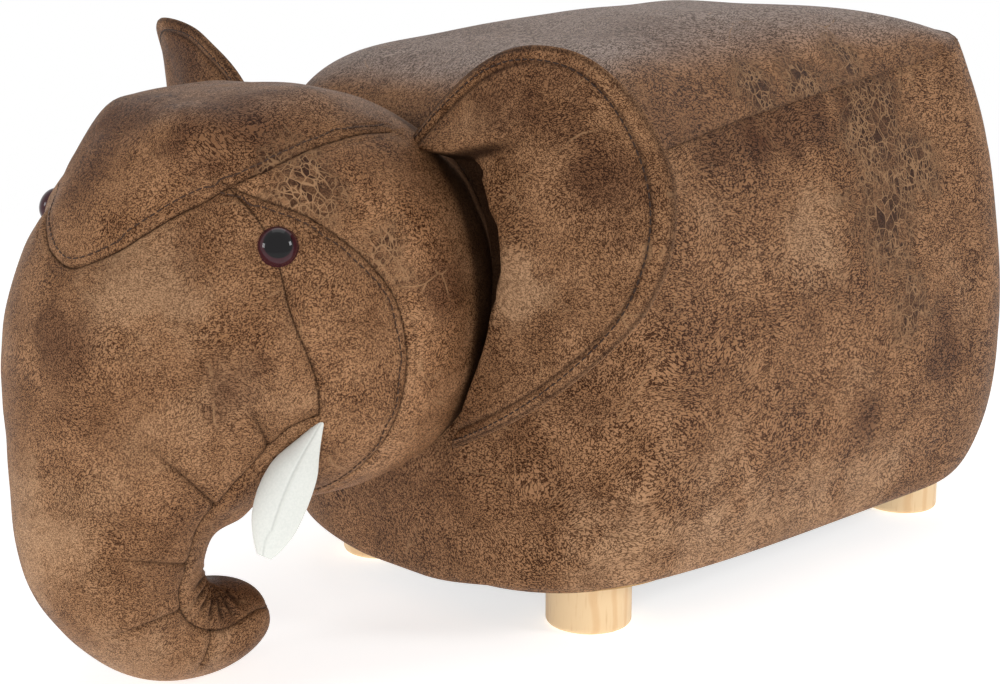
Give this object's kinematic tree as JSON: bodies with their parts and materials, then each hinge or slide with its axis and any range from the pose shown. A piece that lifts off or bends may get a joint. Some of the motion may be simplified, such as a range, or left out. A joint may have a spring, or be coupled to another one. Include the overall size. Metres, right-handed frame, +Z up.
{
  "type": "elephant footstool",
  "caption": "Low padded footstool shaped as an elephant: a box seat in distressed brown faux leather on round wooden feet, with a stuffed head, curled trunk, tusks and flapping ears.",
  "frame": {"origin": "on the floor, below the middle of the overall box", "axes": "+Z up, the elephant looks along -X, +Y points to the elephant's own right"},
  "size_m": [0.652, 0.3622, 0.319],
  "materials": {
    "leather": "distressed brown faux leather with a fine pebbled grain and worn patches",
    "foam": "open-cell foam",
    "wadding": "loose fibre filling",
    "plywood": "sawn, unfinished",
    "pine": "clear satin lacquer over pale pine",
    "steel": "zinc plated",
    "dust_cloth": "thin black non-woven cloth",
    "eye_plastic": "polished, dark plum brown with a black pupil",
    "washer_plastic": "moulded",
    "tusk_cloth": "soft white woven cloth"
  },
  "bodies": {
    "stool": {"seat_cover_panel": "leather", "side_cover_band": "leather", "crown_panel": "leather", "trunk_underside_panel": "leather", "face_panel": "leather", "cheek_panel_left": "leather", "cheek_panel_right": "leather", "head_side_panel_left": "leather", "head_side_panel_right": "leather", "seat_foam": "foam", "side_foam": "foam", "head_filling": "wadding", "trunk_filling": "wadding", "tusk_left_filling": "wadding", "tusk_right_filling": "wadding", "seat_board": "plywood", "base_board": "plywood", "frame_side_left": "plywood", "frame_side_right": "plywood", "frame_end_front": "plywood", "frame_end_rear": "plywood", "corner_blocks": "plywood", "foot_front_left": "pine", "foot_front_right": "pine", "foot_rear_left": "pine", "foot_rear_right": "pine", "frame_screws": "steel", "foot_bolts": "steel", "foot_inserts": "steel", "cover_staples": "steel", "dust_cover": "dust_cloth", "eye_left": "eye_plastic", "eye_right": "eye_plastic", "eye_washers": "washer_plastic", "tusk_left_cover": "tusk_cloth", "tusk_right_cover": "tusk_cloth"},
    "left_ear": {"ear_left_front": "leather", "ear_left_wadding": "wadding", "ear_left_back": "leather"},
    "right_ear": {"ear_right_front": "leather", "ear_right_wadding": "wadding", "ear_right_back": "leather"}
  },
  "joints": [
    {"name": "ear_left_flap", "type": "hinge", "parent": "stool", "child": "left_ear", "pos_m": [-0.1403, -0.098, 0.215], "axis": [0, 0, 1], "range_deg": [-30, 20], "stiffness_Nm_per_rad": 0.3},
    {"name": "ear_right_flap", "type": "hinge", "parent": "stool", "child": "right_ear", "pos_m": [-0.1403, 0.098, 0.215], "axis": [0, 0, -1], "range_deg": [-30, 20], "stiffness_Nm_per_rad": 0.3}
  ]
}
